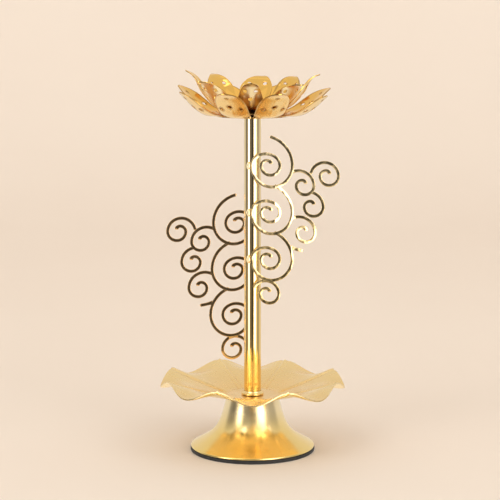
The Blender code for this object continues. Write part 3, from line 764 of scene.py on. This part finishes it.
# How each petal was bent by hand, from the front one on towards the right: its tip's extra height
# and reach and its middle's sag outwards in millimetres, its tip's lean in degrees, and how wide it
# is left after creasing.
OUTER_BENDS = [(1.0, 0.0, 0.0, 2.5, 1.0), (1.0, 0.0, 0.3, -2.5, 1.0), (-1.8, -0.9, 5.0, 0.0, 1.0),
               (-0.2, 2.2, 3.6, 0.0, 1.0), (0.3, 0.0, 2.0, 0.0, 1.0), (0.3, 0.0, 2.0, 0.0, 1.0),
               (1.5, 0.6, 3.0, 0.0, 1.0), (0.2, -2.2, 3.6, 0.0, 1.0)]
INNER_BENDS = [(0.4, 0.0, 0.0, 2.0, 0.66), (-1.4, 0.0, 0.0, 5.0, 1.0), (3.0, 0.0, 0.0, -2.0, 1.0),
               (-0.4, 0.0, 0.0, 8.0, 1.0), (-0.8, 0.0, 0.0, -7.0, 1.0), (1.0, 0.0, 0.0, -4.0, 1.0),
               (5.0, 0.0, 0.0, -2.0, 1.0), (0.3, 0.0, 0.0, -6.0, 1.0)]
OUTER_TURN = -23.3  # degrees from the front, of the first petal of each layer
INNER_TURN = -3.0
# Holes in every petal: radius at which they lie, distance from the middle line, own radius.
OUTER_HOLES = [(33.2, 0.0, 1.3), (31.6, -5.8, 1.2), (31.6, 5.8, 1.2), (39.0, 0.0, 0.9)]
INNER_HOLES = [(28.2, 0.0, 1.3), (31.6, -4.6, 1.2), (31.6, 4.6, 1.2)]


def petal_point(stations, along, across, turn, bend):
    """A point of one petal; along runs over the stations, across from -1 to 1."""
    radius, height, half = spline(stations, along)
    share = along / (len(stations) - 1)
    lift, reach, sag, lean, width = bend
    half = max(half, 0.35 * MM) * (1.0 - (1.0 - width) * smooth_step(share * 2.0))
    height += lift * MM * share ** 2 - 0.3 * sag * MM * sin(pi * share)
    radius += reach * MM * share ** 2 + sag * MM * sin(pi * share)
    cup = PETAL_CUP * half * (1.0 - share) * across * across
    angle = turn + radians(lean) * share ** 2 + across * half / radius
    crease = CREASE_HEIGHT * smooth_step(1.0 - abs(across) * half / CREASE_WIDTH)
    crease *= smooth_step(share * 4.0) * (1.0 - share)
    radius += crease - cup
    return Vector((radius * sin(angle), -radius * cos(angle), height + cup * 1.2 - crease * 0.8))


def station_at(stations, radius):
    for index, (low, high) in enumerate(zip(stations, stations[1:])):
        if low.x <= radius <= high.x:
            return index + (radius - low.x) / (high.x - low.x)
    return len(stations) - 1.0


def build_layer(name, node, support, raw_stations, bends, holes, first_turn, body, looks):
    """One stamped sheet with its petals, lying on the piece named as its support."""
    floor_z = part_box(support)[1].z + GAP + PETAL_SHEET / 2
    stations = [Vector(station) * MM for station in raw_stations]
    bm = bmesh.new()
    columns = 20
    gap_steps = 3
    half_angle = stations[0].z / stations[0].x
    offsets = [half_angle * (-1.0 + 2.0 * column / columns) for column in range(columns + 1)]
    gap = 2 * pi / PETALS - 2 * half_angle
    offsets += [half_angle + gap * step / (gap_steps + 1) for step in range(1, gap_steps + 1)]
    turns = [radians(first_turn) + 2 * pi * petal / PETALS for petal in range(PETALS)]
    angles = [turn + offset for turn in turns for offset in offsets]
    edge_radius = stations[0].x
    dish = edge_radius - FLOOR_DISH_WIDTH
    levels = [(ROD_HOLE, 0.0), (6.0 * MM, 0.0), (dish * 0.75, 0.0), (dish, 0.0)]
    levels += [(dish + FLOOR_DISH_WIDTH * step / 4, stations[0].y * (step / 4) ** 2) for step in range(1, 5)]
    rings = [[bm.verts.new((radius * sin(a), -radius * cos(a), floor_z + height)) for a in angles]
             for radius, height in levels]
    for inner, outer in zip(rings, rings[1:]):
        for index in range(len(angles)):
            after = (index + 1) % len(angles)
            bm.faces.new((outer[index], outer[after], inner[after], inner[index]))
    rows_per_station = 5
    rows = (len(stations) - 1) * rows_per_station
    for petal, (turn, bend) in enumerate(zip(turns, bends)):
        start = petal * len(offsets)
        row = rings[-1][start:start + columns + 1]
        for step in range(1, rows + 1):
            along = step / rows_per_station
            following = []
            for column in range(columns + 1):
                across = -1.0 + 2.0 * column / columns
                spot = petal_point(stations, along, across, turn, bend)
                following.append(bm.verts.new((spot.x, spot.y, floor_z + spot.z)))
            for column in range(columns):
                after = column + 1
                bm.faces.new((row[column], row[after], following[after], following[column]))
            row = following
    layer = object_from(bm, name, looks[0], 60.0)
    layer.data.materials.append(looks[1])
    solidify = layer.modifiers.new("sheet", "SOLIDIFY")
    solidify.thickness = PETAL_SHEET
    solidify.offset = 0.0
    solidify.material_offset = 1
    punch(layer, stations, bends, holes, turns, floor_z)
    bevel = layer.modifiers.new("edge", "BEVEL")
    bevel.width = 0.14 * MM
    bevel.segments = 2
    bevel.limit_method = "ANGLE"
    bevel.angle_limit = radians(50.0)
    settle(layer, body, node)


def punch(layer, stations, bends, holes, turns, floor_z):
    """Round holes punched square to the sheet, the same in every petal."""
    bm = bmesh.new()
    for turn, bend in zip(turns, bends):
        for radius_mm, side_mm, hole_mm in holes:
            along = station_at(stations, radius_mm * MM)
            half = spline(stations, along).z
            across = side_mm * MM / half
            spot = petal_point(stations, along, across, turn, bend)
            up_slope = petal_point(stations, along + 0.2, across, turn, bend) - spot
            sideways = petal_point(stations, along, across + 0.1, turn, bend) - spot
            facing = up_slope.cross(sideways).normalized().to_track_quat("Z", "Y").to_matrix().to_4x4()
            place = Matrix.Translation(spot + Vector((0.0, 0.0, floor_z))) @ facing
            hole = hole_mm * MM
            bmesh.ops.create_cone(bm, cap_ends=True, segments=24, radius1=hole, radius2=hole,
                                  depth=5 * PETAL_SHEET, matrix=place)
    cutter = object_from(bm, f"{layer.name}_punch", layer.data.materials[0])
    cut = layer.modifiers.new("holes", "BOOLEAN")
    cut.operation = "DIFFERENCE"
    cut.object = cutter
    graph = bpy.context.evaluated_depsgraph_get()
    mesh = bpy.data.meshes.new_from_object(layer.evaluated_get(graph))
    layer.modifiers.clear()
    layer.data = mesh
    bpy.data.objects.remove(cutter, do_unlink=True)


def build_lotus():
    # One gold plating in three colours, which is painted light: the deep orange inside is painted reflection
    # between the petals, and the inner layer's outside is a paler, lit copy.
    outside = gold("lotus_gold", (0.90, 0.68, 0.34), (0.85, 0.57, 0.24), 0.197, 0.222, 0.19,
                   grain=0.7, pierced=True)
    inside = gold("lotus_inner_gold", (0.96, 0.62, 0.18), (0.96, 0.50, 0.09), 0.197, 0.222, 0.08,
                  grain=0.7, pierced=True)
    paler = gold("lotus_inner_outside_gold", (0.98, 0.82, 0.52), (0.95, 0.72, 0.36), 0.199, 0.214, 0.30,
                 grain=0.7, pierced=True)
    build_layer("outer_petals_pierced", "outer_petals", "stem_top_bush", OUTER_STATIONS, OUTER_BENDS,
                OUTER_HOLES, OUTER_TURN, "outer_lotus_layer", (inside, outside))
    build_layer("inner_petals_pierced", "inner_petals", "petal_spacer", INNER_STATIONS, INNER_BENDS,
                INNER_HOLES, INNER_TURN, "inner_lotus_layer", (inside, paler))


# Studio -------------------------------------------------------------------------------------

def build_stage():
    """Pale floor that curves up into a backdrop."""
    bm = bmesh.new()
    profile = [(-2.5, 0.0), (0.9, 0.0)]
    profile += [(0.9 + 0.6 * sin(radians(a)), 0.6 - 0.6 * cos(radians(a))) for a in range(10, 91, 10)]
    profile.append((1.5, 3.0))
    rows = [[bm.verts.new((x, y, z)) for x in (-3.0, 3.0)] for y, z in profile]
    for row, following in zip(rows, rows[1:]):
        bm.faces.new((row[0], row[1], following[1], following[0]))
    made = Nodes("pale_paper")
    tone = made.noise(3.0, 4.0)
    made.link(made.blend(tone, (0.835, 0.75, 0.69), (0.865, 0.80, 0.745)), made.shader.inputs["Base Color"])
    made.shader.inputs["Roughness"].default_value = 0.9
    made.shader.inputs["Specular IOR Level"].default_value = 0.1
    floor = object_from(bm, "studio_floor", made.material)
    floor.visible_glossy = False


def area_light(name, place, target, size, power, colour):
    light = bpy.data.lights.new(name, "AREA")
    light.shape = "RECTANGLE"
    light.size = size[0]
    light.size_y = size[1]
    light.energy = power
    light.color = colour
    lamp = bpy.data.objects.new(name, light)
    lamp.location = place
    lamp.rotation_euler = (Vector(target) - Vector(place)).to_track_quat("-Z", "Y").to_euler()
    lamp.visible_camera = False
    SCENE.collection.objects.link(lamp)
    return lamp


SOFTBOX = 4.2  # brightness
# What the polished metal sees around the stand: (bearing from the front in degrees, positive to the
# right, and brightness). Two tall white softboxes stand either side of the dark front of the room.
ROOM = [(-180, 0.85), (-112, 0.80), (-98, 0.30), (-76, 0.16), (-68, 0.45), (-60, 1.2), (-56, SOFTBOX),
        (-45, SOFTBOX), (-39, 0.35), (-28, 0.16), (-9, 0.15), (-5, 0.045), (5, 0.045), (8, 0.13),
        (14, 0.35), (18, 1.0), (22, SOFTBOX), (43, SOFTBOX), (52, 0.8), (72, 0.45),
        (96, 0.46), (108, 0.80), (180, 0.85)]
ROOM_TINT = (1.0, 0.93, 0.84)
# Colours above and below the stand, as shares of the softboxes' brightness, and how high the sight line
# is (the sine of its elevation) where they begin and where they are full.
OVERHEAD = (0.192, 0.177, 0.152)
OVERHEAD_RANGE = (0.20, 0.55)
BELOW = (0.250, 0.228, 0.198)
BELOW_RANGE = (-0.30, -0.62)


def build_world():
    world = bpy.data.worlds.new("studio")
    SCENE.world = world
    world.use_nodes = True
    tree = world.node_tree
    tree.nodes.clear()

    def add(kind, **settings):
        node = tree.nodes.new(kind)
        for key, value in settings.items():
            setattr(node, key, value)
        return node

    def calc(operation, first, second=0.0):
        node = add("ShaderNodeMath", operation=operation)
        for value, socket in ((first, node.inputs[0]), (second, node.inputs[1])):
            if isinstance(value, bpy.types.NodeSocket):
                tree.links.new(value, socket)
            else:
                socket.default_value = value
        return node.outputs[0]

    direction = add("ShaderNodeSeparateXYZ")
    tree.links.new(add("ShaderNodeTexCoord").outputs["Generated"], direction.inputs[0])
    bearing = calc("ARCTAN2", direction.outputs["X"], calc("MULTIPLY", direction.outputs["Y"], -1.0))
    share = calc("ADD", calc("DIVIDE", bearing, 2 * pi), 0.5)
    ramp = add("ShaderNodeValToRGB")
    tree.links.new(share, ramp.inputs["Fac"])
    stops = ramp.color_ramp.elements
    for index, (degrees_round, bright) in enumerate(ROOM):
        position = degrees_round / 360.0 + 0.5
        stop = stops[index] if index < 2 else stops.new(position)
        stop.position = position
        level = bright / SOFTBOX
        stop.color = (*[level * tint for tint in ROOM_TINT], 1.0)

    def fade(first, second, begin_full):
        """Turns the first colour into the second over a range of the sight line's height."""
        height = add("ShaderNodeMapRange")
        tree.links.new(direction.outputs["Z"], height.inputs[0])
        height.inputs[1].default_value = begin_full[0]
        height.inputs[2].default_value = begin_full[1]
        node = add("ShaderNodeMix", data_type="RGBA")
        tree.links.new(height.outputs[0], node.inputs[0])
        tree.links.new(first, node.inputs[6])
        node.inputs[7].default_value = (*second, 1.0)
        return node.outputs[2]

    colour = fade(ramp.outputs["Color"], OVERHEAD, OVERHEAD_RANGE)
    colour = fade(colour, BELOW, BELOW_RANGE)
    background = add("ShaderNodeBackground")
    background.inputs["Strength"].default_value = SOFTBOX
    tree.links.new(colour, background.inputs["Color"])
    tree.links.new(background.outputs[0], add("ShaderNodeOutputWorld").inputs[0])


CAMERA_PLACE = (-0.0015, -1.15, 0.300)
CAMERA_DOWN = 8.92  # degrees below level
CAMERA_LENS = 143.2  # in millimetres, on a 36 mm sensor


def build_camera():
    camera = bpy.data.cameras.new("camera")
    camera.sensor_width = 36.0
    camera.lens = CAMERA_LENS
    camera.clip_end = 20.0
    view = bpy.data.objects.new("camera", camera)
    view.location = CAMERA_PLACE
    view.rotation_euler = (radians(90.0 - CAMERA_DOWN), 0.0, 0.0)
    SCENE.collection.objects.link(view)
    SCENE.camera = view


def build_lights():
    area_light("key", (-0.9, -1.1, 1.5), (0.0, 0.0, 0.1), (1.0, 1.0), 6.2, (1.0, 0.97, 0.93))
    area_light("fill", (1.1, -0.9, 1.3), (0.0, 0.0, 0.1), (1.0, 1.0), 4.4, (1.0, 0.96, 0.91))
    area_light("backdrop_wash", (0.0, 0.3, 2.0), (0.0, 1.0, 0.3), (2.0, 1.0), 0.8, (1.0, 0.97, 0.94))


build_foot_ring()
build_bell()
build_hardware()
build_plate()
build_stem()
build_panels()
build_solder()
build_lotus()
build_stage()
build_world()
build_lights()
build_camera()
SCENE.view_settings.view_transform = "Standard"
